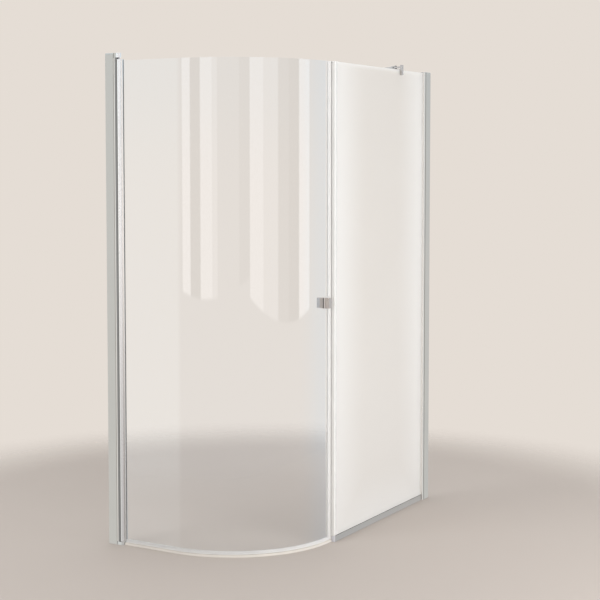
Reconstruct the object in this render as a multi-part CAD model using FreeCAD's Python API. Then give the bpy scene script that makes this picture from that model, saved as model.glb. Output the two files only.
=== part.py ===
import FreeCAD, Part
import math
import os

from FreeCAD import Vector

# Quadrant shower enclosure for the corner of two walls: a curved clear glass door hung on the
# left wall, a frosted fixed panel that stands out from the back wall, and a stabiliser bar.
# Lengths are millimetres. A plan position is given as two distances: "across" from the wall
# that carries the hinge, and "out" from the back wall. "up" is the height over the floor.

# Overall
WIDTH = 812.0              # hinge wall to the outer face of the fixed side
DEPTH = 1398.0             # back wall to the outer face of the hinge side
GLASS_TOP = 2000.0
GLASS = 6.0                # thickness of both glasses
FIT = 0.3                  # between pieces that slide together or pass each other
RUNNING = 0.05             # on the radius, between a shaft and its bearing
SEATED = 0.02              # on the radius, between a pin or screw and the hole that holds it

# Wall channels and the adjusting profiles that slide in them
CHANNEL_WIDTH = 28.0
CHANNEL_BACK = 2.0         # plate against the wall
CHANNEL_LEG = 1.8
PROFILE_WALL = 1.6
HINGE_CHANNEL_REACH = 41.0   # off the wall
HINGE_CHANNEL_OVER_GLASS = 24.0
HINGE_PROFILE_BACK = 10.0    # the adjusting profile's back face, off the wall
HINGE_PROFILE_REACH = 47.0
FIXED_CHANNEL_REACH = 48.0
FIXED_CHANNEL_UNDER_GLASS = 1.0   # its top end lies this far below the glass's top edge
FIXED_PROFILE_BACK = 12.0
FIXED_PROFILE_REACH = 62.0
FIXED_POCKET_DEPTH = 18.0
CAP = 6.0                    # thickness of the hinge channel's end cap
FIXED_CAP = 5.0              # thickness of the fixed channel's end cap
CAP_ROUND = 5.0              # rounding of a cap's edge at the wall
CAP_EDGE = 1.0               # least flat edge left beside that rounding
CAP_PEG = 13.0               # length of the peg that holds a cap

# Wall screw holes, and the screws that lock a profile in its channel
WALL_HOLE_RADIUS = 2.75
WALL_HOLE_INSET = 100.0      # outermost wall holes, from the floor and below the glass's top
SIDE_SCREW_INSET = 150.0     # outermost side screws, likewise
SIDE_SCREW_OFF_WALL = 26.0
SIDE_SCREW_RADIUS = 1.75
SIDE_SCREW_LENGTH = 8.0
SIDE_SCREW_HEAD_RADIUS = 3.8
SIDE_SCREW_HEAD = 2.6
SIDE_SCREW_LOOSE = 0.35      # the channel's hole is this much larger than the screw

# Hinge line
AXIS_ACROSS = 62.0
AXIS_IN_FROM_FRONT = 12.0    # from the hinge side's outer face
TUBE_RADIUS = 9.0
TUBE_WALL = 1.6
TUBE_BOTTOM = 15.0
TUBE_OVER_GLASS = 5.0
HOLLOW_GAP = 8.0             # from the tube to the adjusting profile's hollow end
PIN_RADIUS = 3.0
BRACKET_RADIUS = 9.5         # rounded end of both pivot brackets
FOOT_HEEL = 3.0              # the foot reaches this far past its round end, under the pocket
FOOT_FLOOR = 2.0             # solid metal left under the bottom pin
FOOT_HEIGHT = 13.0
KNUCKLE_GAP = 6.0            # between the tube's top and the knuckle, for the lift
BRACKET_PLUG = 32.0          # length of each bracket's plug in the adjusting profile
GRUB_RADIUS = 2.0
GRUB_LENGTH = 8.0

# Rise-and-fall cams in the foot of the door's tube
LIFT_PER_RADIAN = 2.86
CAM_GAP = 0.15
CAM_MIDDLE = 27.0            # height of the sloping cut at the hinge axis
CAM_TOP = 50.0
LOWER_BUSH_HEIGHT = 16.0
END_PLUG = 40.0
TOP_PIN_GRIP = 35.0          # length of the top pin inside the end plug
TOP_PIN_RISE = 14.0          # height of the top pin over the tube
PIN_FLAT = 1.8               # from the axis to the top pin's flat
TOP_BUSH_RADIUS = 4.95
TOP_BUSH_HEAD = 5.9
TOP_BUSH_NECK = 9.0
TOP_BORE = 15.0              # depth of the knuckle's stepped bore

# Door
DOOR_PLANE_BEHIND_AXIS = 9.0
ARC_RADIUS = 452.0           # centre line of the curved glass
ARC_TAIL = 5.0               # straight glass after the quarter circle
DOOR_EDGE_INSET = 19.0       # from the fixed panel's centre plane to the door's
PANEL_EDGE_STEP = 17.0       # the fixed glass ends this much nearer the back wall
DOOR_GLASS_BOTTOM = 15.0
POCKET_LEG = 1.6
POCKET_GASKET = 1.4
POCKET_GASKET_FLOOR = 0.8
POCKET_HEEL = 2.0            # the pocket's body starts this far before the hinge axis
POCKET_GRIP = 6.5            # how far the door's glass reaches into its pocket
POCKET_START = 8.0           # from the hinge axis to the pocket's floor

# Seals
CLIP = 2.0                   # leg thickness of the push-on seals
CLIP_GRIP = 12.0
BOTTOM_SEAL_LOW = 11.5
BOTTOM_SEAL_GRIP = 9.0
DRIP_LIP = 4.5
MEETING_GAP = 0.3            # from the meeting plane to each magnetic strip
MAGNET = 1.6
MAGNET_LENGTH = 7.0
MAGNET_COVER = 0.7
MAGNET_ROOM = 10.0           # length of the face that covers a magnet
BULB = 5.0                   # thickness of the bulb that holds a magnet
DOOR_MAGNET_CENTRE = -7.0    # along the meeting plane, from its middle
PANEL_MAGNET_CENTRE = -5.0
DOOR_STRIP_BOTTOM = 12.0
LIP_FOOT = 2.0               # depth of the lip seals' feet in the hinge profile's end
LIP_FOOT_WIDTH = 1.8
LIP_FROM_FACE = 2.8          # from the profile's side face to the far side of a foot
LIP_TIP = 5.8                # each lip's tip meets the tube this far to one side of the hinge axis
LIP_GAP = 0.1                # from the tube to the lips' tips
BULB_SHOULDER = 1.0          # the panel's seal stands out past its clip by this
STRIP_HEIGHT = 10.5
STRIP_STEP = 3.5             # width of each of the floor strip's bevels
STRIP_CROWN = 1.0            # height of its upper outer bevel
STRIP_OUTER = 11.5           # the floor strip's edges, from the glass's centre line
STRIP_INNER = 11.0

# Handle
HANDLE_UP = 1007.0           # centre of the handle
HANDLE_ANGLE = 3.0           # round the curve from the door's free end
HANDLE_HEIGHT = 43.0
HANDLE_WIDTH = 24.0
OUTER_KNOB = 19.6
INNER_KNOB = 31.0
KNOB_ROUND = 2.0
HANDLE_GASKET = 1.4
HANDLE_PLATE = 3.0
PLATE_RIM = 3.0              # the plate stands out past the knob by this
STUD_RADIUS = 3.0
STUD_GRIP = 12.0
GLASS_HOLE_RADIUS = 6.0

# Bottom rail under the fixed glass
RAIL_WIDTH = 16.0
RAIL_HEIGHT = 24.0
RAIL_WALL = 1.8
RAIL_BASE = 2.5
RAIL_PAST_GLASS = 5.0
RAIL_GASKET_LOW = 16.0
RAIL_GASKET_PROUD = 1.0
PANEL_GLASS_BOTTOM = 8.0
END_CAP = 3.0
END_CAP_PLUG = 14.0
JOINER_IN_PROFILE = 16.0
JOINER_IN_RAIL = 20.0
JOINER_HEIGHT = 5.0
SETTING_BLOCK_LENGTH = 40.0
SETTING_BLOCK_WIDTH = 8.0
SETTING_BLOCK_INSET = 140.0  # from each end of the rail to the middle of a block

# Stabiliser
CLAMP_OUT = 294.5            # the clamp's middle, off the back wall
CLAMP_WIDTH = 16.0
CLAMP_LEG = 9.2
CLAMP_DROP = 23.0            # below the glass's top edge
CLAMP_OVER_BAR = 10.0        # its top, above the bar's centre line
CLAMP_PAD = 0.8
CLAMP_BRIDGE = 4.0           # height of the bridge over the glass, behind the taller outer leg
CLAMP_SCREW_RADIUS = 2.5
BAR_OVER_GLASS = 12.0        # the bar's centre line above the glass's top edge
BAR_RADIUS = 6.0
BAR_ANGLE = 55.0             # between the bar and the fixed glass, in plan
FORK_RADIUS = 8.0
FORK_REACH = 30.0            # from the pivot to the fork's mouth
FORK_END = 7.0               # from the pivot to the fork's tip
FORK_BORE_START = 14.0
FORK_SLOT = 9.0              # from the pivot to the floor of the slot
TONGUE = 7.0                 # thickness of the tongues
TONGUE_RADIUS = 7.0          # their round ends
TONGUE_ROOT = 1.0            # they run this far into the piece they stand on
PIVOT_RADIUS = 2.5
PIVOT_PIN_SUNK = 0.8         # the pivot pins' ends, below the forks' surface
PIVOT_FROM_PANEL = 25.0      # from the glass's centre plane to the pivot
PIVOT_FROM_WALL = 22.0
FLANGE_RADIUS = 17.0
FLANGE = 5.0
FLANGE_HOLE_RADIUS = 2.25
FLANGE_HOLE_SPACING = 23.0
BAR_GRUB_FROM_PIVOT = 22.0
BAR_GRUB_RADIUS = 1.75

# Places that follow from the sizes above
HALF_GLASS = GLASS / 2
HINGE_CHANNEL_TOP = GLASS_TOP + HINGE_CHANNEL_OVER_GLASS
FIXED_CHANNEL_TOP = GLASS_TOP - FIXED_CHANNEL_UNDER_GLASS
TUBE_TOP = GLASS_TOP + TUBE_OVER_GLASS
KNUCKLE_BOTTOM = TUBE_TOP + KNUCKLE_GAP
BAR_UP = GLASS_TOP + BAR_OVER_GLASS
PANEL_ACROSS = WIDTH - CHANNEL_WIDTH / 2
HINGE_LINE_OUT = DEPTH - CHANNEL_WIDTH / 2
AXIS_OUT = DEPTH - AXIS_IN_FROM_FRONT
DOOR_OUT = AXIS_OUT - DOOR_PLANE_BEHIND_AXIS
ARC_OUT = DOOR_OUT - ARC_RADIUS
ARC_ACROSS = PANEL_ACROSS - DOOR_EDGE_INSET - ARC_RADIUS
DOOR_EDGE_ACROSS = ARC_ACROSS + ARC_RADIUS
DOOR_EDGE_OUT = ARC_OUT - ARC_TAIL
PANEL_EDGE_OUT = DOOR_EDGE_OUT - PANEL_EDGE_STEP
TUBE_BORE = TUBE_RADIUS - TUBE_WALL
POCKET_FLOOR = AXIS_ACROSS + POCKET_START
DOOR_GLASS_START = POCKET_FLOOR + POCKET_GASKET_FLOOR
POCKET_END = DOOR_GLASS_START + POCKET_GRIP
PROFILE_HALF = CHANNEL_WIDTH / 2 - CHANNEL_LEG - FIT
PROFILE_CAVITY = PROFILE_HALF - PROFILE_WALL
RAIL_FRONT = PANEL_EDGE_OUT + RAIL_PAST_GLASS
RAIL_START = FIXED_PROFILE_REACH + FIT
FOOT_END = AXIS_ACROSS + BRACKET_RADIUS + FOOT_HEEL
HINGE_AXIS = (AXIS_ACROSS, AXIS_OUT)
HINGE_PROFILE_UP = (FOOT_HEIGHT + FIT, KNUCKLE_BOTTOM - FIT)
DOOR_STRIP_UP = (DOOR_STRIP_BOTTOM, GLASS_TOP)
PANEL_STRIP_UP = (RAIL_HEIGHT + RAIL_GASKET_PROUD + FIT, GLASS_TOP)
FIXED_POCKET_FLOOR = FIXED_PROFILE_REACH - FIXED_POCKET_DEPTH
FIXED_GLASS_START = FIXED_POCKET_FLOOR + POCKET_GASKET
PLATE_SEAT = ARC_RADIUS + HALF_GLASS + HANDLE_GASKET
OUTER_SEAT = PLATE_SEAT + HANDLE_PLATE
INNER_SEAT = ARC_RADIUS - HALF_GLASS - HANDLE_GASKET
WALL_HOLE_SPACING = (GLASS_TOP - 2 * WALL_HOLE_INSET) / 3
WALL_HOLES = [WALL_HOLE_INSET + step * WALL_HOLE_SPACING for step in range(4)]
SIDE_SCREW_HEIGHTS = (SIDE_SCREW_INSET, GLASS_TOP / 2, GLASS_TOP - SIDE_SCREW_INSET)
UPWARD = Vector(0, 0, 1)
ACROSS = Vector(1, 0, 0)
OUTWARD = Vector(0, -1, 0)
PANEL_PIVOT = (PANEL_ACROSS - PIVOT_FROM_PANEL, CLAMP_OUT)
BAR_TURN = math.radians(BAR_ANGLE)
BAR_SPAN_ACROSS = (CLAMP_OUT - PIVOT_FROM_WALL) * math.tan(BAR_TURN)
WALL_PIVOT = (PANEL_PIVOT[0] - BAR_SPAN_ACROSS, PIVOT_FROM_WALL)
TO_WALL = Vector(-math.sin(BAR_TURN), math.cos(BAR_TURN), 0)
TO_PANEL = TO_WALL * -1


def point(across, out, up=0.0):
    """A point of the part's frame, which is centred under the whole enclosure."""
    return Vector(across - WIDTH / 2, DEPTH / 2 - out, up)


def on_hinge_side(off_wall, along):
    """Plan position from the hinge wall and from the hinge channel's centre line."""
    return off_wall, HINGE_LINE_OUT + along


def on_fixed_side(off_wall, along):
    """Plan position from the back wall and from the fixed panel's centre plane."""
    return PANEL_ACROSS + along, off_wall


def prism(corners, low, high):
    """A plan outline of straight edges, extruded upwards."""
    loop = [point(across, out, low) for across, out in corners + corners[:1]]
    return Part.Face(Part.makePolygon(loop)).extrude(Vector(0, 0, high - low))


def block(across, out, up):
    """A box from its three ranges."""
    size = (across[1] - across[0], out[1] - out[0], up[1] - up[0])
    return Part.makeBox(*size, point(across[0], out[1], up[0]))


def side_block(side, off_wall, along, up):
    """A box beside a wall, from its ranges off that wall and along it."""
    ends = [side(off_wall[i], along[i]) for i in (0, 1)]
    across = sorted(end[0] for end in ends)
    out = sorted(end[1] for end in ends)
    return block(across, out, up)


def post(plan, up, radius):
    """An upright cylinder."""
    return Part.makeCylinder(radius, up[1] - up[0], point(*plan, up[0]), UPWARD)


def dowel(start, direction, length, radius):
    """A cylinder from a point along a direction."""
    return Part.makeCylinder(radius, length, start, direction)


def group(solids):
    """Separate solids that share one node."""
    return Part.makeCompound(solids)


def save(name, shape):
    """Write one piece, whose file name is its node name."""
    shape.exportStep(os.path.join("parts", name + ".step"))


def wall_channel(side, reach, top):
    """U channel: back plate on the wall, two legs, wall screw holes and side screw holes."""
    half = CHANNEL_WIDTH / 2
    shell = side_block(side, (0, reach), (-half, half), (0, top))
    inside = half - CHANNEL_LEG
    channel = shell.cut(side_block(side, (CHANNEL_BACK, reach), (-inside, inside), (0, top)))
    off_wall = ACROSS if side is on_hinge_side else OUTWARD
    holes = [dowel(point(*side(0, 0), up), off_wall, CHANNEL_BACK, WALL_HOLE_RADIUS) for up in WALL_HOLES]
    return channel.cut(holes).cut(side_screws(side, SIDE_SCREW_LOOSE, 0))


def side_screws(side, loose, head):
    """Screws through the channel's inner leg into the profile; with loose and no head, their holes."""
    along_wall = OUTWARD if side is on_hinge_side else ACROSS
    screws = []
    for up in SIDE_SCREW_HEIGHTS:
        start = point(*side(SIDE_SCREW_OFF_WALL, -CHANNEL_WIDTH / 2), up)
        screw = dowel(start, along_wall, SIDE_SCREW_LENGTH, SIDE_SCREW_RADIUS + loose)
        if head:
            cheese = dowel(start - along_wall * head, along_wall, head, SIDE_SCREW_HEAD_RADIUS)
            rim = [edge for edge in cheese.Edges if (edge.CenterOfMass - start).dot(along_wall) < -head / 2]
            screw = screw.fuse(cheese.makeFillet(head / 2, [e for e in rim if len(e.Vertexes) == 1]))
        screws.append(screw)
    return group(screws)


def channel_cap(side, reach, low, high, peg_reach):
    """End cap: a plate over the channel, rounded at the wall, with a peg between the legs."""
    half = CHANNEL_WIDTH / 2
    plate = side_block(side, (0, reach), (-half, half), (low, high))
    corner = point(*side(0, 0), high)
    wall_edge = min(plate.Edges, key=lambda edge: (edge.CenterOfMass - corner).Length)
    plate = plate.makeFillet(min(CAP_ROUND, high - low - CAP_EDGE), [wall_edge])
    peg_half = half - CHANNEL_LEG - FIT
    peg = side_block(side, (CHANNEL_BACK + FIT, peg_reach - FIT), (-peg_half, peg_half), (low - CAP_PEG, low))
    return plate.fuse(peg)


def hinge_adjust_profile():
    """Box profile whose outer end is hollowed round the door's tube."""
    outer = side_block(on_hinge_side, (HINGE_PROFILE_BACK, HINGE_PROFILE_REACH),
                       (-PROFILE_HALF, PROFILE_HALF), HINGE_PROFILE_UP)
    hollow = post(HINGE_AXIS, HINGE_PROFILE_UP, TUBE_RADIUS + HOLLOW_GAP)
    shape = outer.cut([hollow, hinge_profile_cavity(HINGE_PROFILE_UP, 0)])
    return shape.cut([side_screws(on_hinge_side, SEATED, 0), bracket_grubs(SEATED), hinge_seal_feet(SEATED)])


def hinge_profile_cavity(up, gap):
    """The box profile's inside, less a gap for what plugs into it."""
    start = HINGE_PROFILE_BACK + PROFILE_WALL + gap
    end = AXIS_ACROSS - TUBE_RADIUS - HOLLOW_GAP - 2 * PROFILE_WALL - gap
    half = PROFILE_CAVITY - gap
    return side_block(on_hinge_side, (start, end), (-half, half), up)


def hinge_seal_feet(loose):
    """The square feet of the two lip seals, or with loose their slots."""
    base = HINGE_PROFILE_REACH - LIP_FOOT - loose
    near = PROFILE_HALF - LIP_FROM_FACE - loose
    far = PROFILE_HALF - LIP_FROM_FACE + LIP_FOOT_WIDTH + loose
    spans = ((-far, -near), (near, far))
    off_wall = (base, HINGE_PROFILE_REACH)
    return group([side_block(on_hinge_side, off_wall, span, HINGE_PROFILE_UP) for span in spans])


def hinge_side_seal():
    """Two soft lips that lean from the profile's end to the door's tube, inside and outside."""
    tip = AXIS_ACROSS - math.sqrt((TUBE_RADIUS + LIP_GAP) ** 2 - LIP_TIP ** 2)
    near = PROFILE_HALF - LIP_FROM_FACE
    strips = []
    for sign, foot in zip((-1, 1), hinge_seal_feet(0).Solids):
        root = sign * near
        end = AXIS_OUT - HINGE_LINE_OUT + sign * LIP_TIP
        width = sign * LIP_FOOT_WIDTH
        corners = [(HINGE_PROFILE_REACH, root), (tip, end), (tip, end + width),
                   (HINGE_PROFILE_REACH, root + width)]
        lip = prism([on_hinge_side(*corner) for corner in corners], *HINGE_PROFILE_UP)
        strips.append(foot.fuse(lip))
    return group(strips)


def bracket_grubs(loose):
    """Grub screws across the plugs of both pivot brackets, or with loose their holes."""
    off_wall = (HINGE_PROFILE_BACK + HINGE_CHANNEL_REACH) / 2
    heights = (FOOT_HEIGHT + BRACKET_PLUG / 2, KNUCKLE_BOTTOM - BRACKET_PLUG / 2)
    sunk = 0 if loose else FIT
    starts = [point(*on_hinge_side(off_wall, sunk - PROFILE_HALF), up) for up in heights]
    return group([dowel(start, OUTWARD, GRUB_LENGTH - sunk, GRUB_RADIUS + loose) for start in starts])


def bracket(low, high, arm_high, plug_up):
    """A pivot bracket: arm between the channel's legs, rounded end round the axis, and plug."""
    half = PROFILE_HALF
    step = HINGE_CHANNEL_REACH + FIT
    arm = side_block(on_hinge_side, (HINGE_PROFILE_BACK, step), (-half, half), (low, arm_high))
    nose = side_block(on_hinge_side, (step, AXIS_ACROSS), (-half, half), (low, high))
    end = post(HINGE_AXIS, (low, high), BRACKET_RADIUS)
    plug = hinge_profile_cavity(plug_up, FIT)
    return arm.fuse([nose, end, plug]).cut(bracket_grubs(SEATED))


def bottom_pivot_bracket():
    """Foot under the door's tube, with a heel under the glass pocket and a blind hole for the pin."""
    foot = bracket(0, FOOT_HEIGHT, FOOT_HEIGHT, (FOOT_HEIGHT, FOOT_HEIGHT + BRACKET_PLUG))
    heel = block((AXIS_ACROSS, FOOT_END), (AXIS_OUT - BRACKET_RADIUS, AXIS_OUT), (0, FOOT_HEIGHT))
    hole = post(HINGE_AXIS, (FOOT_FLOOR, FOOT_HEIGHT), PIN_RADIUS + SEATED)
    return foot.fuse(heel).removeSplitter().cut(hole)


def top_pivot_bracket():
    """Knuckle over the door's tube, with a stepped bore that keeps the keyed bush in."""
    plug_up = (KNUCKLE_BOTTOM - BRACKET_PLUG, KNUCKLE_BOTTOM)
    knuckle = bracket(KNUCKLE_BOTTOM, HINGE_CHANNEL_TOP + CAP, HINGE_CHANNEL_TOP, plug_up)
    step = KNUCKLE_BOTTOM + TOP_BUSH_NECK
    neck = post(HINGE_AXIS, (KNUCKLE_BOTTOM, step), TOP_BUSH_RADIUS + RUNNING)
    recess = post(HINGE_AXIS, (step, KNUCKLE_BOTTOM + TOP_BORE), TOP_BUSH_HEAD + 2 * RUNNING)
    return knuckle.removeSplitter().cut([neck, recess])


def keyed(radius, up, flat):
    """An upright cylinder on the hinge axis with one flat."""
    whole = post(HINGE_AXIS, up, radius)
    beyond = block((AXIS_ACROSS + flat, AXIS_ACROSS + 2 * radius), (AXIS_OUT - radius, AXIS_OUT + radius), up)
    return whole.cut(beyond)


def top_bush():
    """Nylon bush that turns in the knuckle with the pin, and lets the pin slide up through it."""
    low = KNUCKLE_BOTTOM + FIT
    step = KNUCKLE_BOTTOM + TOP_BUSH_NECK + FIT
    high = KNUCKLE_BOTTOM + TOP_BORE - FIT
    body = post(HINGE_AXIS, (low, step), TOP_BUSH_RADIUS).fuse(post(HINGE_AXIS, (step, high), TOP_BUSH_HEAD))
    return body.cut(keyed(PIN_RADIUS + RUNNING, (low, high), PIN_FLAT + RUNNING))


def top_pivot_pin():
    """Pin held in the tube's end plug, with a flat over its upper part that drives the bush."""
    flat_start = TUBE_TOP + FIT
    round_part = post(HINGE_AXIS, (TUBE_TOP - TOP_PIN_GRIP, flat_start), PIN_RADIUS)
    return round_part.fuse(keyed(PIN_RADIUS, (flat_start, TUBE_TOP + TOP_PIN_RISE), PIN_FLAT))


def ring(up, inner, outer):
    """A collar round the hinge axis."""
    return post(HINGE_AXIS, up, outer).cut(post(HINGE_AXIS, up, inner))


def up_to_slope(level, gap):
    """The space between a level and the cams' sloping cut, which is raised by a gap."""
    reach = TUBE_RADIUS
    rise = LIFT_PER_RADIAN / (TUBE_BORE - FIT) * reach
    middle = CAM_MIDDLE + gap
    profile = [(-reach, level), (reach, level), (reach, middle + rise), (-reach, middle - rise)]
    loop = [point(AXIS_ACROSS - reach, AXIS_OUT + out, up) for out, up in profile + profile[:1]]
    return Part.Face(Part.makePolygon(loop)).extrude(ACROSS * (2 * reach))


def lower_lift_cam():
    """Fixed collar on the foot, cut on a slope."""
    collar = ring((FOOT_HEIGHT, CAM_TOP), PIN_RADIUS + SEATED, TUBE_BORE - FIT)
    return collar.common(up_to_slope(FOOT_HEIGHT, 0))


def upper_lift_cam():
    """Collar in the tube that rides up the lower cam as the door turns."""
    collar = ring((FOOT_HEIGHT, CAM_TOP), PIN_RADIUS + RUNNING, TUBE_BORE - RUNNING)
    return collar.common(up_to_slope(CAM_TOP, CAM_GAP))


def door_hinge_profile():
    """Round tube with a pocket along it that grips the door's glass."""
    up = (TUBE_BOTTOM, TUBE_TOP)
    half = HALF_GLASS + POCKET_GASKET + POCKET_LEG
    tube = post(HINGE_AXIS, up, TUBE_RADIUS)
    pocket = block((AXIS_ACROSS - POCKET_HEEL, POCKET_END), (DOOR_OUT - half, DOOR_OUT + half), up)
    inside = HALF_GLASS + POCKET_GASKET
    slot = block((POCKET_FLOOR, POCKET_END), (DOOR_OUT - inside, DOOR_OUT + inside), up)
    return tube.fuse(pocket).removeSplitter().cut([slot, post(HINGE_AXIS, up, TUBE_BORE)])


def door_glazing_gasket():
    """U gasket between the pocket and the glass."""
    inside = HALF_GLASS + POCKET_GASKET
    up = (DOOR_GLASS_BOTTOM, GLASS_TOP)
    outer = block((POCKET_FLOOR, POCKET_END), (DOOR_OUT - inside, DOOR_OUT + inside), up)
    glass = block((DOOR_GLASS_START, POCKET_END), (DOOR_OUT - HALF_GLASS, DOOR_OUT + HALF_GLASS), up)
    return outer.cut(glass)


def door_run(section, start, end):
    """Sweep a section of (radius, up) corners along the door's plan: straight, quarter circle, straight."""
    centre = point(ARC_ACROSS, ARC_OUT)
    loop = [point(ARC_ACROSS, ARC_OUT + radius, up) for radius, up in section + section[:1]]
    face = Part.Face(Part.makePolygon(loop))
    straight = face.extrude(ACROSS * (start - ARC_ACROSS))
    curve = face.revolve(centre, UPWARD, 90)
    turned = face.copy()
    turned.rotate(centre, UPWARD, 90)
    tail = turned.extrude(OUTWARD * (end - ARC_OUT))
    return straight.fuse([curve, tail]).removeSplitter()


def bent_glass():
    """The door's glass before drilling: straight from the hinge and then a quarter circle."""
    inner = ARC_RADIUS - HALF_GLASS
    outer = ARC_RADIUS + HALF_GLASS
    section = [(inner, DOOR_GLASS_BOTTOM), (outer, DOOR_GLASS_BOTTOM), (outer, GLASS_TOP), (inner, GLASS_TOP)]
    return door_run(section, DOOR_GLASS_START, DOOR_EDGE_OUT)


def door_glass():
    """Clear bent glass with a hole for the handle."""
    return bent_glass().cut(radial(ARC_RADIUS - GLASS, ARC_RADIUS + GLASS, GLASS_HOLE_RADIUS))


def door_bottom_seal():
    """Push-on seal under the glass with a drip lip outside."""
    inner = ARC_RADIUS - HALF_GLASS
    outer = ARC_RADIUS + HALF_GLASS
    top = DOOR_GLASS_BOTTOM + BOTTOM_SEAL_GRIP
    section = [(inner - CLIP, top), (inner, top), (inner, DOOR_GLASS_BOTTOM), (outer, DOOR_GLASS_BOTTOM),
               (outer, top), (outer + CLIP, top), (outer + CLIP, DOOR_GLASS_BOTTOM),
               (outer + DRIP_LIP, DOOR_GLASS_BOTTOM - CLIP), (outer + DRIP_LIP, BOTTOM_SEAL_LOW),
               (inner - CLIP, BOTTOM_SEAL_LOW)]
    return door_run(section, POCKET_END + FIT, DOOR_EDGE_OUT)


def floor_strip():
    """Low threshold strip under the door, from the foot to the rail's end cap."""
    outer = ARC_RADIUS + STRIP_OUTER
    inner = ARC_RADIUS - STRIP_INNER
    crown = STRIP_HEIGHT - STRIP_CROWN
    section = [(inner, 0), (outer, 0), (outer, STRIP_STEP), (outer - STRIP_STEP, crown),
               (outer - 2 * STRIP_STEP, STRIP_HEIGHT), (inner + 2 * STRIP_STEP, STRIP_HEIGHT),
               (inner, STRIP_STEP)]
    return door_run(section, FOOT_END + FIT, RAIL_FRONT + END_CAP + FIT)


def at_meeting(along, across):
    """Plan position from the 45 degree plane on which the two magnetic strips meet.

    along runs outwards in that plane, and across runs square to it, from the door to the panel.
    """
    middle_across = (DOOR_EDGE_ACROSS + PANEL_ACROSS) / 2
    middle_out = (DOOR_EDGE_OUT + PANEL_EDGE_OUT) / 2
    root = math.sqrt(0.5)
    return middle_across + (along + across) * root, middle_out + (along - across) * root


def magnet(sign, centre, up):
    """Magnet strip just behind the meeting face of one seal."""
    near = sign * (MEETING_GAP + MAGNET_COVER)
    far = sign * (MEETING_GAP + MAGNET_COVER + MAGNET)
    first = centre - MAGNET_LENGTH / 2
    last = centre + MAGNET_LENGTH / 2
    outline = ((first, near), (last, near), (last, far), (first, far))
    return prism([at_meeting(*corner) for corner in outline], *up)


def door_edge_seal():
    """Seal clipped on the door's free edge, with a bulb for its magnet."""
    inner = DOOR_EDGE_ACROSS - HALF_GLASS
    outer = DOOR_EDGE_ACROSS + HALF_GLASS
    grip = DOOR_EDGE_OUT + CLIP_GRIP
    near = at_meeting(DOOR_MAGNET_CENTRE - MAGNET_ROOM / 2, -MEETING_GAP)
    far = at_meeting(DOOR_MAGNET_CENTRE + MAGNET_ROOM / 2, -MEETING_GAP)
    heel = at_meeting(DOOR_MAGNET_CENTRE - MAGNET_ROOM / 2, -MEETING_GAP - BULB)
    shoulder = (far[0], DOOR_EDGE_OUT - BULB)
    bulb = [(inner - CLIP, DOOR_EDGE_OUT - CLIP), heel, near, far, shoulder,
            (outer + CLIP, DOOR_EDGE_OUT - CLIP), (outer + CLIP, DOOR_EDGE_OUT),
            (inner - CLIP, DOOR_EDGE_OUT)]
    clip_low = DOOR_GLASS_BOTTOM + BOTTOM_SEAL_GRIP + FIT
    legs = [block((inner - CLIP, inner), (DOOR_EDGE_OUT, grip), (clip_low, GLASS_TOP)),
            block((outer, outer + CLIP), (DOOR_EDGE_OUT, grip), (clip_low, GLASS_TOP))]
    whole = prism(bulb, *DOOR_STRIP_UP).fuse(legs).removeSplitter()
    return whole.cut([magnet(-1, DOOR_MAGNET_CENTRE, DOOR_STRIP_UP), bent_glass()])


def front_edge_seal():
    """Seal clipped on the fixed glass's front edge, with a bulb for its magnet."""
    inner = PANEL_ACROSS - HALF_GLASS
    outer = PANEL_ACROSS + HALF_GLASS
    grip = PANEL_EDGE_OUT - CLIP_GRIP
    near = at_meeting(PANEL_MAGNET_CENTRE - MAGNET_ROOM / 2, MEETING_GAP)
    far = at_meeting(PANEL_MAGNET_CENTRE + MAGNET_ROOM / 2 + CLIP, MEETING_GAP)
    heel = at_meeting(PANEL_MAGNET_CENTRE - MAGNET_ROOM / 2, MEETING_GAP + BULB)
    shoulder = outer + CLIP + BULB_SHOULDER
    bulb = [(inner - CLIP, PANEL_EDGE_OUT), (inner - CLIP, PANEL_EDGE_OUT - CLIP), heel, near, far,
            (far[0] + CLIP, far[1]), (shoulder, far[1] - CLIP), (shoulder, PANEL_EDGE_OUT),
            (outer + CLIP, PANEL_EDGE_OUT)]
    legs = [block((inner - CLIP, inner), (grip, PANEL_EDGE_OUT), PANEL_STRIP_UP),
            block((outer, outer + CLIP), (grip, PANEL_EDGE_OUT), PANEL_STRIP_UP)]
    whole = prism(bulb, *PANEL_STRIP_UP).fuse(legs).removeSplitter()
    return whole.cut(magnet(1, PANEL_MAGNET_CENTRE, PANEL_STRIP_UP))


def round_curve(shape):
    """Carry a shape from the door's free end round the curve to the handle's place."""
    shape.rotate(point(ARC_ACROSS, ARC_OUT), UPWARD, -HANDLE_ANGLE)
    return shape


def radial(near, far, radius):
    """A cylinder square through the curved glass at the handle, between two radii of the curve."""
    start = point(ARC_ACROSS + near, ARC_OUT, HANDLE_UP)
    return round_curve(dowel(start, ACROSS, far - near, radius))


def handle_block(near, far, rim=0.0):
    """A block at the handle between two radii, before it is carried round the curve."""
    half_width = HANDLE_WIDTH / 2 + rim
    half_height = HANDLE_HEIGHT / 2 + rim
    return block((ARC_ACROSS + near, ARC_ACROSS + far), (ARC_OUT - half_width, ARC_OUT + half_width),
                 (HANDLE_UP - half_height, HANDLE_UP + half_height))


def curve_disc(radius):
    """Everything inside a radius of the curve, at the handle's height."""
    return post((ARC_ACROSS, ARC_OUT), (HANDLE_UP - HANDLE_HEIGHT, HANDLE_UP + HANDLE_HEIGHT), radius)


def outer_gasket():
    """Flat outside, curved to the glass inside."""
    glass = ARC_RADIUS + HALF_GLASS
    return handle_block(glass - HANDLE_GASKET, glass + HANDLE_GASKET).cut(curve_disc(glass + RUNNING))


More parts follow.
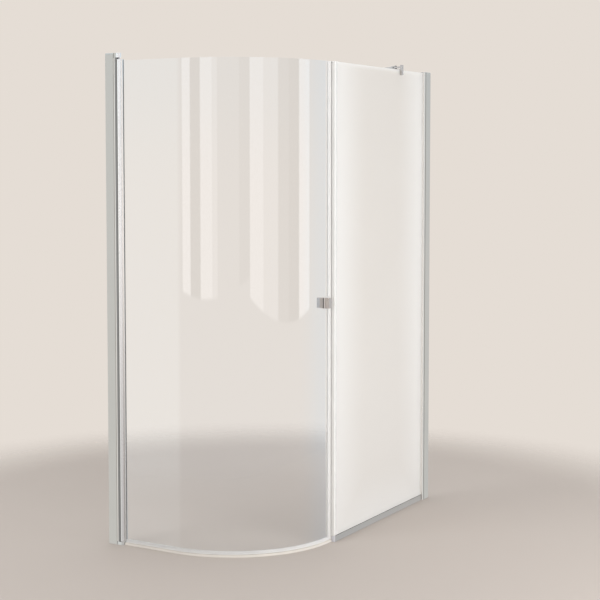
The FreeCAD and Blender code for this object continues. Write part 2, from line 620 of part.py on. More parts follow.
def inner_gasket():
    """Flat inside, curved to the glass outside."""
    glass = ARC_RADIUS - HALF_GLASS
    return handle_block(glass - HANDLE_GASKET, glass + HANDLE_GASKET).common(curve_disc(glass - RUNNING))


def handle_gaskets():
    """Clear gaskets on both faces of the glass."""
    glass = (ARC_RADIUS - HALF_GLASS, ARC_RADIUS + HALF_GLASS)
    passage = radial(glass[0] - GLASS, glass[1] + GLASS, STUD_RADIUS + FIT)
    return group([round_curve(inner_gasket()).cut(passage), round_curve(outer_gasket()).cut(passage)])


def runs_across(edge):
    """True for an edge of a handle block that runs from the glass to the hand."""
    first, last = edge.Vertexes
    return abs(first.X - last.X) > SEATED


def knob(seat, depth):
    """A rounded block knob from its seat, with a hole in the seat for the stud; depth is signed."""
    near, far = sorted((seat, seat + depth))
    body = handle_block(near, far)
    end = point(ARC_ACROSS + seat + depth, ARC_OUT).x
    rounded = [edge for edge in body.Edges if runs_across(edge) or abs(edge.CenterOfMass.x - end) < SEATED]
    near, far = sorted((seat, seat + math.copysign(STUD_GRIP, depth)))
    return round_curve(body.makeFillet(KNOB_ROUND, rounded)).cut(radial(near, far, STUD_RADIUS + SEATED))


def handle_outer_plate():
    """Thin plate behind the outer knob that stands out past it all round."""
    plate = handle_block(PLATE_SEAT, OUTER_SEAT, PLATE_RIM)
    plate = round_curve(plate.makeFillet(KNOB_ROUND, [edge for edge in plate.Edges if runs_across(edge)]))
    return plate.cut(radial(PLATE_SEAT, OUTER_SEAT, STUD_RADIUS + FIT))


def handle_sleeve():
    """Nylon sleeve that keeps the stud off the glass."""
    near = ARC_RADIUS - HALF_GLASS + FIT
    far = ARC_RADIUS + HALF_GLASS - FIT
    return radial(near, far, GLASS_HOLE_RADIUS - 2 * RUNNING).cut(radial(near, far, STUD_RADIUS + FIT))


def fixed_adjust_profile():
    """Three-chamber profile with a pocket for the fixed glass between two side chambers."""
    up = (0, FIXED_CHANNEL_TOP)
    whole = (-PROFILE_HALF, PROFILE_HALF)
    outer = side_block(on_fixed_side, (FIXED_PROFILE_BACK, FIXED_PROFILE_REACH), whole, up)
    main = side_block(on_fixed_side, (FIXED_PROFILE_BACK + PROFILE_WALL, FIXED_POCKET_FLOOR - PROFILE_WALL),
                      (-PROFILE_CAVITY, PROFILE_CAVITY), up)
    half = HALF_GLASS + POCKET_GASKET
    pocket = side_block(on_fixed_side, (FIXED_POCKET_FLOOR, FIXED_PROFILE_REACH), (-half, half), up)
    beside = (FIXED_POCKET_FLOOR, FIXED_PROFILE_REACH - PROFILE_WALL)
    spans = ((half + PROFILE_WALL, PROFILE_CAVITY), (-PROFILE_CAVITY, -half - PROFILE_WALL))
    chambers = [side_block(on_fixed_side, beside, span, up) for span in spans]
    return outer.cut([main, pocket] + chambers).cut(side_screws(on_fixed_side, SEATED, 0))


def fixed_glazing_gasket():
    """U gasket between the pocket and the fixed glass."""
    half = HALF_GLASS + POCKET_GASKET
    up = (PANEL_GLASS_BOTTOM, FIXED_CHANNEL_TOP)
    outer = side_block(on_fixed_side, (FIXED_POCKET_FLOOR, FIXED_PROFILE_REACH), (-half, half), up)
    return outer.cut(fixed_glass())


def fixed_glass():
    """Flat frosted glass."""
    return side_block(on_fixed_side, (FIXED_GLASS_START, PANEL_EDGE_OUT), (-HALF_GLASS, HALF_GLASS),
                      (PANEL_GLASS_BOTTOM, GLASS_TOP))


def fixed_channel_cap():
    """Cap of the fixed side's channel, notched round the glass."""
    up = (FIXED_CHANNEL_TOP, FIXED_CHANNEL_TOP + FIXED_CAP)
    cap = channel_cap(on_fixed_side, FIXED_CHANNEL_REACH, *up, FIXED_PROFILE_BACK)
    half = HALF_GLASS + POCKET_GASKET
    return cap.cut(side_block(on_fixed_side, (FIXED_POCKET_FLOOR, FIXED_CHANNEL_REACH), (-half, half), up))


def bottom_rail():
    """U rail on the floor that holds the fixed glass's lower edge."""
    half = RAIL_WIDTH / 2
    inside = half - RAIL_WALL
    length = (RAIL_START, RAIL_FRONT)
    rail = side_block(on_fixed_side, length, (-half, half), (0, RAIL_HEIGHT))
    return rail.cut(side_block(on_fixed_side, length, (-inside, inside), (RAIL_BASE, RAIL_HEIGHT)))


def rail_gaskets():
    """Wedge strips on both sides of the glass in the rail."""
    inside = RAIL_WIDTH / 2 - RAIL_WALL
    up = (RAIL_GASKET_LOW, RAIL_HEIGHT + RAIL_GASKET_PROUD)
    spans = ((HALF_GLASS, inside), (-inside, -HALF_GLASS))
    return group([side_block(on_fixed_side, (RAIL_START, RAIL_FRONT), span, up) for span in spans])


def rail_end_cap():
    """Plate over the rail's front end with a plug under the glass."""
    half = RAIL_WIDTH / 2
    plate = side_block(on_fixed_side, (RAIL_FRONT, RAIL_FRONT + END_CAP), (-half, half), (0, RAIL_HEIGHT))
    plug_half = half - RAIL_WALL - FIT
    plug = side_block(on_fixed_side, (RAIL_FRONT - END_CAP_PLUG, RAIL_FRONT), (-plug_half, plug_half),
                      (RAIL_BASE, PANEL_GLASS_BOTTOM - FIT))
    return plate.fuse(plug)


def rail_joiner():
    """Bar in the rail's foot that runs on into the profile's pocket."""
    half = HALF_GLASS + POCKET_GASKET - FIT
    ends = (FIXED_PROFILE_REACH - JOINER_IN_PROFILE, FIXED_PROFILE_REACH + JOINER_IN_RAIL)
    return side_block(on_fixed_side, ends, (-half, half), (RAIL_BASE, RAIL_BASE + JOINER_HEIGHT))


def setting_blocks():
    """Plastic blocks that carry the fixed glass in the rail."""
    half = SETTING_BLOCK_LENGTH / 2
    width = SETTING_BLOCK_WIDTH / 2
    middles = (RAIL_START + SETTING_BLOCK_INSET, RAIL_FRONT - SETTING_BLOCK_INSET)
    return group([side_block(on_fixed_side, (middle - half, middle + half), (-width, width),
                             (RAIL_BASE, PANEL_GLASS_BOTTOM)) for middle in middles])


def tongue(pivot, direction, length):
    """Flat tongue with a round end and a pin hole, reaching from its pivot back to its base."""
    low = BAR_UP - TONGUE / 2
    side = Vector(-direction.y, direction.x, 0) * TONGUE_RADIUS
    start = point(*pivot, low)
    base = start + direction * length
    corners = [start + side, start - side, base - side, base + side]
    bar = Part.Face(Part.makePolygon(corners + corners[:1])).extrude(Vector(0, 0, TONGUE))
    end = post(pivot, (low, low + TONGUE), TONGUE_RADIUS)
    return bar.fuse(end).cut(post(pivot, (low, low + TONGUE), PIVOT_RADIUS + SEATED))


def clamp_body():
    """Inverted U over the glass's top edge, whose taller outer leg carries the bar's tongue."""
    reach = HALF_GLASS + CLAMP_PAD
    out = (CLAMP_OUT - CLAMP_WIDTH / 2, CLAMP_OUT + CLAMP_WIDTH / 2)
    low = GLASS_TOP - CLAMP_DROP
    outer_face = reach + CLAMP_LEG
    body = block((PANEL_ACROSS - outer_face, PANEL_ACROSS + outer_face), out, (low, BAR_UP + CLAMP_OVER_BAR))
    seat = GLASS_TOP + CLAMP_PAD
    slot = block((PANEL_ACROSS - reach, PANEL_ACROSS + reach), out, (low, seat))
    above = (seat + CLAMP_BRIDGE, BAR_UP + CLAMP_OVER_BAR)
    step = block((PANEL_ACROSS - outer_face, PANEL_ACROSS + reach), out, above)
    arm = tongue(PANEL_PIVOT, ACROSS, PIVOT_FROM_PANEL + reach + TONGUE_ROOT)
    return body.cut([slot, step]).fuse(arm).cut(clamp_screw(SEATED))


def clamp_pads():
    """Soft pads between the clamp's legs and the glass."""
    out = (CLAMP_OUT - CLAMP_WIDTH / 2, CLAMP_OUT + CLAMP_WIDTH / 2)
    up = (GLASS_TOP - CLAMP_DROP, GLASS_TOP)
    return group([block((PANEL_ACROSS - HALF_GLASS - CLAMP_PAD, PANEL_ACROSS - HALF_GLASS), out, up),
                  block((PANEL_ACROSS + HALF_GLASS, PANEL_ACROSS + HALF_GLASS + CLAMP_PAD), out, up)])


def clamp_screw(loose=0.0):
    """Screw through the clamp's inner leg that presses the pad to the glass, or its hole."""
    start = PANEL_ACROSS - HALF_GLASS - CLAMP_PAD - CLAMP_LEG
    up = GLASS_TOP - CLAMP_DROP / 2
    return dowel(point(start, CLAMP_OUT, up), ACROSS, CLAMP_LEG, CLAMP_SCREW_RADIUS + loose)


def bar_fork(pivot, direction):
    """Fork that straddles a tongue at its pivot and holds one end of the bar."""
    centre = point(*pivot, BAR_UP)
    body = dowel(centre - direction * FORK_END, direction, FORK_REACH + FORK_END, FORK_RADIUS)
    slot_half = TONGUE / 2 + FIT
    side = Vector(-direction.y, direction.x, 0) * (2 * FORK_RADIUS)
    back = centre - direction * (2 * FORK_END) - UPWARD * slot_half
    front = centre + direction * FORK_SLOT - UPWARD * slot_half
    corners = [back + side, back - side, front - side, front + side]
    slot = Part.Face(Part.makePolygon(corners + corners[:1])).extrude(UPWARD * (2 * slot_half))
    bore_start = centre + direction * FORK_BORE_START
    bore = dowel(bore_start, direction, FORK_REACH - FORK_BORE_START, BAR_RADIUS + SEATED)
    pin = post(pivot, (BAR_UP - FORK_RADIUS, BAR_UP + FORK_RADIUS), PIVOT_RADIUS + SEATED)
    return body.cut([slot, bore, pin, bar_grub(pivot, direction, SEATED)])


def bar_grub(pivot, direction, loose):
    """Grub screw up through the fork that holds the bar, or its hole."""
    start = point(*pivot, BAR_UP - FORK_RADIUS) + direction * BAR_GRUB_FROM_PIVOT
    return dowel(start, UPWARD, FORK_RADIUS - BAR_RADIUS - 2 * SEATED, BAR_GRUB_RADIUS + loose)


def stabiliser_bar():
    """Round bar between the two forks."""
    start = point(*PANEL_PIVOT, BAR_UP)
    length = (point(*WALL_PIVOT) - point(*PANEL_PIVOT)).Length
    inset = FORK_BORE_START + FIT
    return dowel(start + TO_WALL * inset, TO_WALL, length - 2 * inset, BAR_RADIUS)


def stabiliser_pins():
    """Upright pins through both forks and tongues."""
    half = FORK_RADIUS - PIVOT_PIN_SUNK
    up = (BAR_UP - half, BAR_UP + half)
    return group([post(pivot, up, PIVOT_RADIUS) for pivot in (PANEL_PIVOT, WALL_PIVOT)])


def wall_flange():
    """Round flange on the back wall with two screw holes and a tongue for the bar."""
    across = WALL_PIVOT[0]
    disc = dowel(point(across, 0, BAR_UP), OUTWARD, FLANGE, FLANGE_RADIUS)
    arm = tongue(WALL_PIVOT, OUTWARD * -1, PIVOT_FROM_WALL - FLANGE + TONGUE_ROOT)
    places = (across - FLANGE_HOLE_SPACING / 2, across + FLANGE_HOLE_SPACING / 2)
    holes = [dowel(point(place, 0, BAR_UP), OUTWARD, FLANGE, FLANGE_HOLE_RADIUS) for place in places]
    return disc.fuse(arm).cut(holes)


def hinge_side():
    """Everything on the hinge wall that stays still, and the keyed bush."""
    save("hinge_wall_channel", wall_channel(on_hinge_side, HINGE_CHANNEL_REACH, HINGE_CHANNEL_TOP))
    save("hinge_adjust_profile", hinge_adjust_profile())
    save("hinge_side_screws", side_screws(on_hinge_side, 0, SIDE_SCREW_HEAD))
    save("hinge_channel_cap", channel_cap(on_hinge_side, HINGE_CHANNEL_REACH, HINGE_CHANNEL_TOP,
                                          HINGE_CHANNEL_TOP + CAP, HINGE_PROFILE_BACK))
    save("hinge_side_seal", hinge_side_seal())
    save("bottom_pivot_bracket", bottom_pivot_bracket())
    save("top_pivot_bracket", top_pivot_bracket())
    save("pivot_bracket_screws", bracket_grubs(0))
    save("bottom_pivot_pin", post(HINGE_AXIS, (FOOT_FLOOR, CAM_TOP + LOWER_BUSH_HEIGHT), PIN_RADIUS))
    save("lower_lift_cam", lower_lift_cam())
    save("top_bush", top_bush())


def door():
    """Everything that swings."""
    bush_up = (CAM_TOP + FIT, CAM_TOP + FIT + LOWER_BUSH_HEIGHT)
    plug = post(HINGE_AXIS, (TUBE_TOP - END_PLUG, TUBE_TOP), TUBE_BORE - RUNNING)
    plug_hole = post(HINGE_AXIS, (TUBE_TOP - TOP_PIN_GRIP, TUBE_TOP), PIN_RADIUS + SEATED)
    save("door_hinge_profile", door_hinge_profile())
    save("door_glazing_gasket", door_glazing_gasket())
    save("upper_lift_cam", upper_lift_cam())
    save("lower_pivot_bush", ring(bush_up, PIN_RADIUS + RUNNING, TUBE_BORE - RUNNING))
    save("top_end_plug", plug.cut(plug_hole))
    save("top_pivot_pin", top_pivot_pin())
    save("door_glass", door_glass())
    save("door_bottom_seal", door_bottom_seal())
    save("door_edge_seal", door_edge_seal())
    save("door_edge_magnet", magnet(-1, DOOR_MAGNET_CENTRE, DOOR_STRIP_UP))
    save("handle_outer_knob", knob(OUTER_SEAT, OUTER_KNOB))
    save("handle_outer_plate", handle_outer_plate())
    save("handle_inner_knob", knob(INNER_SEAT, -INNER_KNOB))
    save("handle_gaskets", handle_gaskets())
    save("handle_stud", radial(INNER_SEAT - STUD_GRIP, OUTER_SEAT + STUD_GRIP, STUD_RADIUS))
    save("handle_sleeve", handle_sleeve())


def fixed_side():
    """The fixed panel, its wall channel and its rail."""
    save("fixed_wall_channel", wall_channel(on_fixed_side, FIXED_CHANNEL_REACH, FIXED_CHANNEL_TOP))
    save("fixed_adjust_profile", fixed_adjust_profile())
    save("fixed_side_screws", side_screws(on_fixed_side, 0, SIDE_SCREW_HEAD))
    save("fixed_channel_cap", fixed_channel_cap())
    save("fixed_glazing_gasket", fixed_glazing_gasket())
    save("fixed_glass", fixed_glass())
    save("bottom_rail", bottom_rail())
    save("rail_gaskets", rail_gaskets())
    save("rail_end_cap", rail_end_cap())
    save("rail_joiner", rail_joiner())
    save("setting_blocks", setting_blocks())
    save("front_edge_seal", front_edge_seal())
    save("front_edge_magnet", magnet(1, PANEL_MAGNET_CENTRE, PANEL_STRIP_UP))


def stabiliser():
    """The bar that ties the fixed panel's top to the back wall, with its fittings."""
    save("clamp_body", clamp_body())
    save("clamp_pads", clamp_pads())
    save("clamp_screw", clamp_screw())
    save("panel_bar_fork", bar_fork(PANEL_PIVOT, TO_WALL))
    save("wall_bar_fork", bar_fork(WALL_PIVOT, TO_PANEL))
    save("stabiliser_bar", stabiliser_bar())
    save("stabiliser_pins", stabiliser_pins())
    save("bar_grub_screws", group([bar_grub(PANEL_PIVOT, TO_WALL, 0), bar_grub(WALL_PIVOT, TO_PANEL, 0)]))
    save("wall_flange", wall_flange())


os.makedirs("parts", exist_ok=True)
hinge_side()
door()
fixed_side()
stabiliser()
save("floor_strip", floor_strip())
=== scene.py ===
import math

import bmesh
import bpy
import numpy as np
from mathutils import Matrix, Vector
from mathutils.geometry import tessellate_polygon


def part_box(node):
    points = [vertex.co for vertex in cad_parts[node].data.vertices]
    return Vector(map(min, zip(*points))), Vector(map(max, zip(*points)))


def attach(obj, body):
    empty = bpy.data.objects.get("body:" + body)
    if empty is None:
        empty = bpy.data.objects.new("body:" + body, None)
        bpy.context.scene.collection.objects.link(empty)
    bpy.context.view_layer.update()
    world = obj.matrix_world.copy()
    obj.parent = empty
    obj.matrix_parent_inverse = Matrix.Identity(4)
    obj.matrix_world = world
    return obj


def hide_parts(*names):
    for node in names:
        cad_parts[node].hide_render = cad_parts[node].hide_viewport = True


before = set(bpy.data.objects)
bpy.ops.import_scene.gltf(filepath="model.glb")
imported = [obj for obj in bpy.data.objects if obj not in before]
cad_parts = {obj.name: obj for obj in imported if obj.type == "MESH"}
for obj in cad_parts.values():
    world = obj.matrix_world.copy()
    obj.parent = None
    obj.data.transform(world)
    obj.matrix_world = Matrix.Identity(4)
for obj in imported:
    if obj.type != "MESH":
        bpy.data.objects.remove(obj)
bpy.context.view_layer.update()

# Quadrant shower enclosure: a curved clear glass door that hangs on the left wall and a frosted
# panel that stands out from the back wall. Lengths are in millimetres until a mesh is made.
# "across" is the distance from the hinge wall, "out" the distance from the back wall.

# ---------------------------------------------------------------------------------------------
# Hinge wall channel: extruded aluminium U, satin anodised, screwed to the wall through its back.
# Its end is closed by a die-cast cap on a peg, and three screws on the inner leg lock the
# adjusting profile in it.

HALF_WIDTH = 406.0
BACK_WALL = 699.0
HINGE_LINE = BACK_WALL + 685.0        # out, centre line of everything on the hinge wall
HINGE_CHANNEL = dict(reach=41.0, half=14.0, back=2.0, leg=1.8, top=2024.0)
WALL_HOLE_RADIUS = 2.75
WALL_HOLE_HEIGHTS = (100.0, 700.0, 1300.0, 1900.0)
WALL_HOLE_RUN = 4.0                   # the drill starts 1 mm behind the wall and passes the back
PROFILE_CORNER = 0.35                 # radius of an extrusion's corners
SEAM = 2e-6                           # points nearer than this, in metres, are one
SHARP = math.radians(35)
ANODISED = (0.555, 0.54, 0.50)
DRAWN_UP = (1.0, 1.0, 0.012)          # stretches of the grain: along an upright extrusion,
EVEN = (1.0, 1.0, 1.0)                # and on a casting


class Value:
    """A shader socket that takes Python's operators: an expression on values adds its Math nodes."""

    def __init__(self, tree, socket=None):
        self.tree = tree
        self.socket = socket

    def node(self, kind, settings=None, sockets=None, output=0):
        """A node of one type: its settings are made first, then its sockets' values or links."""
        made = self.tree.nodes.new(kind)
        for name, setting in (settings or {}).items():
            setattr(made, name, setting)
        for name, given in (sockets or {}).items():
            if isinstance(given, Value):
                self.tree.links.new(given.socket, made.inputs[name])
            else:
                made.inputs[name].default_value = given
        return Value(self.tree, made.outputs[output] if made.outputs else None)

    def math(self, operation, *others):
        """A Math node on this value and the others."""
        return self.node("ShaderNodeMath", {"operation": operation}, dict(enumerate((self, *others))))

    def __add__(self, other):
        return self.math("ADD", other)

    def __sub__(self, other):
        return self.math("SUBTRACT", other)

    def __mul__(self, other):
        return self.math("MULTIPLY", other)

    def __truediv__(self, other):
        return self.math("DIVIDE", other)

    def __rsub__(self, other):
        return (self * -1.0) + other

    __radd__ = __add__
    __rmul__ = __mul__

    def clamped(self):
        """This value held between 0 and 1."""
        return self.node("ShaderNodeClamp", None, {"Value": self})

    def step_up(self, start, end):
        """0 below start and 1 above end, with a smooth rise between."""
        share = ((self - start) / (end - start)).clamped()
        return share * share * (3.0 - share * 2.0)

    def blend(self, first, second):
        """The first colour where this value is 0 and the second where it is 1."""
        first, second = (side if isinstance(side, Value) else (*side, 1.0) for side in (first, second))
        return self.node("ShaderNodeMix", {"data_type": "RGBA"}, {0: self, 6: first, 7: second}, output=2)


def new_finish(name):
    """An empty material, and the value of an object's own coordinates in it."""
    material = bpy.data.materials.new(name)
    material.use_nodes = True
    material.node_tree.nodes.clear()
    place = Value(material.node_tree).node("ShaderNodeTexCoord", output="Object")
    return material, place


def noise(place, scale, detail=2.0, stretch=EVEN):
    """Noise from 0 to 1 over the object's coordinates, drawn out where stretch is small."""
    drawn = place.node("ShaderNodeMapping", None, {"Vector": place, "Scale": stretch})
    return place.node("ShaderNodeTexNoise", None, {"Vector": drawn, "Scale": scale, "Detail": detail})


def faded(colour, fade):
    """A colour darkened by a share of itself."""
    return tuple(part * (1.0 - fade) for part in colour)


def relief(height, strength, distance):
    """A bump normal from a height."""
    sockets = {"Height": height, "Strength": strength, "Distance": distance}
    return height.node("ShaderNodeBump", None, sockets)


def shade(material, shader):
    """Send a shader to the material's output."""
    shader.node("ShaderNodeOutputMaterial", None, {"Surface": shader})
    return material


def metal_finish(name, colour, roughness, grain, stretch=DRAWN_UP, fade=0.05, depth=0.04, second=None):
    """Metal with drawing lines along its length, faint water marks and slightly uneven gloss.

    The lines are noise stretched along the extrusion; they tilt the surface a little and vary the
    roughness, and a broad cloudy noise darkens the colour by up to the given fade. A second finish
    has its own colour and roughness, and takes over along one axis between its start and end.
    """
    material, place = new_finish(name)
    lines = noise(place, 900.0, 3.0, stretch)
    clouds = noise(place, 5.0, 4.0)
    marks = noise(place, 60.0, 6.0).step_up(0.62, 0.78)
    base = (clouds * 0.8 + marks * 0.2).blend(colour, faded(colour, fade))
    gloss = roughness + (lines - 0.5) * grain + (clouds - 0.5) * 0.06 + marks * 0.03
    if second:
        along = place.node("ShaderNodeSeparateXYZ", None, {0: place}, output=second["axis"])
        past = along.step_up(second["start"], second["end"])
        base = past.blend(base, second["colour"])
        gloss = gloss + past * (second["roughness"] - roughness)
    shader = place.node("ShaderNodeBsdfPrincipled", None, {
        "Base Color": base,
        "Metallic": 1.0,
        "Roughness": gloss,
        "Normal": relief(lines, depth, 0.0002),
    })
    return shade(material, shader)


def plan(corners):
    """Plan corners of across and out, in metres of the frame."""
    corners = np.asarray(corners, float)
    return np.column_stack([corners[:, 0] - HALF_WIDTH, BACK_WALL - corners[:, 1]]) * 0.001


def rounded(corners, radius, steps=4):
    """A loop whose corners are turned by arcs, all worked out at once.

    The unit vectors along a corner's two edges give its half angle. The arc's centre lies on the
    bisector at radius over the sine of that angle, and its points are a spherical blend between
    the two radii that end where the arc meets the edges.
    """
    corners = np.asarray(corners, float)
    radius = np.broadcast_to(np.asarray(radius, float), (len(corners),))[:, None]
    before = np.roll(corners, 1, axis=0) - corners
    after = np.roll(corners, -1, axis=0) - corners
    before /= np.linalg.norm(before, axis=1, keepdims=True)
    after /= np.linalg.norm(after, axis=1, keepdims=True)
    half = np.arccos(np.clip((before * after).sum(1), -1, 1))[:, None] / 2
    bisector = before + after
    bisector /= np.linalg.norm(bisector, axis=1, keepdims=True)
    centre = corners + bisector * radius / np.sin(half)
    first = corners + before * radius / np.tan(half) - centre
    last = corners + after * radius / np.tan(half) - centre
    turn = (math.pi - 2 * half)[:, :, None]
    share = np.linspace(0, 1, steps)[None, :, None]
    spokes = np.sin((1 - share) * turn) * first[:, None] + np.sin(share * turn) * last[:, None]
    return (centre[:, None] + spokes / np.sin(turn)).reshape(-1, 2)


def walls(counts, stations):
    """Quads between each loop's points at one station and the next."""
    total = sum(counts)
    firsts = np.cumsum([0, *counts])
    here = np.concatenate([np.arange(count) + first for count, first in zip(counts, firsts)])
    after = np.concatenate([np.roll(np.arange(count), -1) + first for count, first in zip(counts, firsts)])
    quads = np.column_stack([here, after, after + total, here + total])
    return (quads[None] + (np.arange(stations - 1) * total)[:, None, None]).reshape(-1, 4)


def ends(loops):
    """Triangles that close a section, less its hollows."""
    return np.array(tessellate_polygon([[Vector((*corner, 0)) for corner in loop] for loop in loops]))


def standing(loops, low, high):
    """A plan outline carried straight up; further loops are hollows through it.

    Each loop's points are repeated at both heights.
    """
    flat = np.concatenate(loops)
    rings = [np.column_stack([flat, np.full(len(flat), up * 0.001)]) for up in (low, high)]
    sides = walls([len(loop) for loop in loops], 2)
    lids = ends(loops)
    return np.concatenate(rings), [*sides.tolist(), *lids.tolist(), *(lids + len(flat)).tolist()]


def piece(name, shape, material, body, *nodes, edge=0.0):
    """A mesh object from points and faces, on a body, in place of the CAD nodes that it stands for."""
    mesh = bpy.data.meshes.new(name)
    mesh.from_pydata(shape[0].tolist(), [], shape[1])
    return finished(name, mesh, material, body, nodes, edge)


def closed(mesh):
    """Join a mesh's seams and point its faces outwards."""
    form = bmesh.new()
    form.from_mesh(mesh)
    bmesh.ops.remove_doubles(form, verts=form.verts, dist=SEAM)
    bmesh.ops.recalc_face_normals(form, faces=form.faces)
    form.to_mesh(mesh)
    form.free()


def finished(name, mesh, material, body, nodes, edge):
    """Close a mesh, shade its round sides smooth and its flat ones flat, and round its edges."""
    closed(mesh)
    mesh.shade_smooth()
    mesh.set_sharp_from_angle(angle=SHARP)
    mesh.materials.clear()
    mesh.materials.append(material)
    made = bpy.data.objects.new(name, mesh)
    bpy.context.scene.collection.objects.link(made)
    if edge:
        bevel = made.modifiers.new("edge", "BEVEL")
        bevel.width = edge * 0.001
        bevel.segments = 2
        bevel.limit_method = "ANGLE"
        bevel.angle_limit = math.radians(40)
    flat = made.modifiers.new("flat faces", "WEIGHTED_NORMAL")
    flat.weight = 100
    flat.keep_sharp = True
    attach(made, body)
    if nodes:
        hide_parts(*nodes)
    return made


def dressed(node, name, material, body, edge):
    """A copy of a CAD node with its triangles joined, its flat faces cleaned and its edges rounded."""
    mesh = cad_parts[node].data.copy()
    mesh.name = name
    form = bmesh.new()
    form.from_mesh(mesh)
    bmesh.ops.remove_doubles(form, verts=form.verts, dist=SEAM)
    bmesh.ops.dissolve_limit(form, angle_limit=math.radians(0.5), verts=form.verts, edges=form.edges)
    form.to_mesh(mesh)
    form.free()
    return finished(name, mesh, material, body, [node], edge)


def paint(material, *nodes):
    """Give CAD nodes that stay as they are a material."""
    for node in nodes:
        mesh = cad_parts[node].data
        mesh.materials.clear()
        mesh.materials.append(material)


def drilled(made, starts, direction, length, radius, around=40):
    """Cut level round holes through a piece.

    Each cutter is two rings about its own axis. A ring's point is the cosine of its turn times one
    side direction plus the sine times the other, times the radius.
    """
    direction = np.asarray(direction, float)
    side = np.cross(direction, (0.0, 0.0, 1.0))
    side /= np.linalg.norm(side)
    other = np.cross(direction, side)
    turn = np.linspace(0, 2 * math.pi, around, endpoint=False)[:, None]
    ring = (np.cos(turn) * side + np.sin(turn) * other) * radius * 0.001
    starts = np.asarray(starts, float)
    stations = np.stack([starts, starts + direction * length * 0.001], axis=1)
    points = (stations[:, :, None] + ring).reshape(-1, 3)
    wall = walls([around], 2)
    lids = np.arange(2 * around).reshape(2, around)
    faces = []
    for first in range(0, len(points), 2 * around):
        faces += [*(wall + first).tolist(), *(lids + first).tolist()]
    cutter = bpy.data.meshes.new("cutter")
    cutter.from_pydata(points.tolist(), [], faces)
    closed(cutter)
    tool = bpy.data.objects.new("cutter", cutter)
    bpy.context.scene.collection.objects.link(tool)
    flat = made.modifiers["flat faces"]
    flat.show_viewport = False
    cut = made.modifiers.new("holes", "BOOLEAN")
    cut.operation = "DIFFERENCE"
    cut.solver = "EXACT"
    cut.object = tool
    bpy.context.view_layer.update()
    solved = made.evaluated_get(bpy.context.evaluated_depsgraph_get())
    whole = made.data
    made.data = bpy.data.meshes.new_from_object(solved)
    made.data.name = made.name
    made.data.set_sharp_from_angle(angle=SHARP)
    made.modifiers.remove(cut)
    flat.show_viewport = True
    bpy.data.meshes.remove(whole)
    bpy.data.objects.remove(tool)
    bpy.data.meshes.remove(cutter)


def u_section(reach, half, back, leg):
    """Corners of a U that opens away from its back, as distances off the back and to the side."""
    inside = half - leg
    return np.array([(0, -half), (reach, -half), (reach, -inside), (back, -inside),
                     (back, inside), (reach, inside), (reach, half), (0, half)], float)


def off_hinge_wall(section):
    """A section's off-the-wall and sideways distances as across and out."""
    section = np.asarray(section, float)
    return np.column_stack([section[:, 0], HINGE_LINE + section[:, 1]])


satin_aluminium = metal_finish("satin_aluminium", ANODISED, 0.34, 0.10)
size = HINGE_CHANNEL
outline = rounded(u_section(size["reach"], size["half"], size["back"], size["leg"]), PROFILE_CORNER)
hinge_channel = piece("hinge_channel", standing([plan(off_hinge_wall(outline))], 0.0, size["top"]),
                      satin_aluminium, "frame", "hinge_wall_channel")
entry = plan([(-1.0, HINGE_LINE)])[0]
drilled(hinge_channel, [(*entry, up * 0.001) for up in WALL_HOLE_HEIGHTS], (1, 0, 0), WALL_HOLE_RUN,
        WALL_HOLE_RADIUS)

cast_metal = metal_finish("cast_cap_metal", (0.60, 0.60, 0.575), 0.26, 0.03, EVEN)
hinge_cap = dressed("hinge_channel_cap", "hinge_cap", cast_metal, "frame", 0.6)

screw_steel = metal_finish("screw_steel", (0.52, 0.51, 0.50), 0.22, 0.02, EVEN)
paint(screw_steel, "hinge_side_screws", "fixed_side_screws", "pivot_bracket_screws", "bottom_pivot_pin",
      "top_pivot_pin", "handle_stud", "clamp_screw", "stabiliser_pins", "bar_grub_screws")

# ---------------------------------------------------------------------------------------------
# Adjusting profile: aluminium box profile that slides in the channel to take up an uneven wall.
# Its outer end is hollowed round the door's tube, with two lip seals of soft grey PVC.

HINGE_ADJUST = dict(back=10.0, reach=47.0, half=11.9, wall=1.6)
CHAMBER_CORNER = 0.5
AXIS = (62.0, HINGE_LINE + 2.0)        # across and out of the hinge's axis
TUBE_RADIUS = 9.0
HOLLOW_RADIUS = 17.0


def soft_finish(name, colour, roughness, coat=0.0, fade=0.07, milky=0.0):
    """Soft plastic: fine moulded texture, cloudy colour, and light that spreads a little way inside it."""
    material, place = new_finish(name)
    skin = noise(place, 1400.0)
    clouds = noise(place, 9.0, 5.0, (1.0, 1.0, 0.35))
    shader = place.node("ShaderNodeBsdfPrincipled", None, {
        "Base Color": clouds.step_up(0.35, 0.75).blend(colour, faded(colour, fade)),
        "Roughness": roughness + (clouds - 0.5) * 0.15,
        "Coat Weight": coat,
        "Subsurface Weight": milky,
        "Subsurface Radius": (1.0, 1.0, 1.0),
        "Subsurface Scale": 0.008,
        "Normal": relief(skin, 0.1, 0.0001),
    })
    return shade(material, shader)


size = HINGE_ADJUST
low, high = (corner.z * 1000 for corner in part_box("hinge_adjust_profile"))
hollow = np.arccos((AXIS[0] - size["reach"]) / HOLLOW_RADIUS)
turn = np.linspace(hollow, -hollow, 28)
bowl = np.column_stack([-np.cos(turn), np.sin(turn)]) * HOLLOW_RADIUS + (AXIS[0], AXIS[1] - HINGE_LINE)
outline = np.concatenate([[(size["back"], -size["half"]), (size["reach"], -size["half"])], bowl[::-1],
                          [(size["reach"], size["half"]), (size["back"], size["half"])]])
inside = size["half"] - size["wall"]
chamber_end = AXIS[0] - HOLLOW_RADIUS - 2 * size["wall"]
chamber = rounded([(size["back"] + size["wall"], -inside), (chamber_end, -inside), (chamber_end, inside),
                   (size["back"] + size["wall"], inside)], CHAMBER_CORNER)
# painted light: the adjusting profiles' aluminium is painted much lighter than the channels' to lift the
# shade in their recess
painted_light_adjuster_metal = metal_finish("adjuster_aluminium_painted_light", (0.82, 0.79, 0.74), 0.34, 0.08)
section = [plan(off_hinge_wall(loop)) for loop in (outline, chamber)]
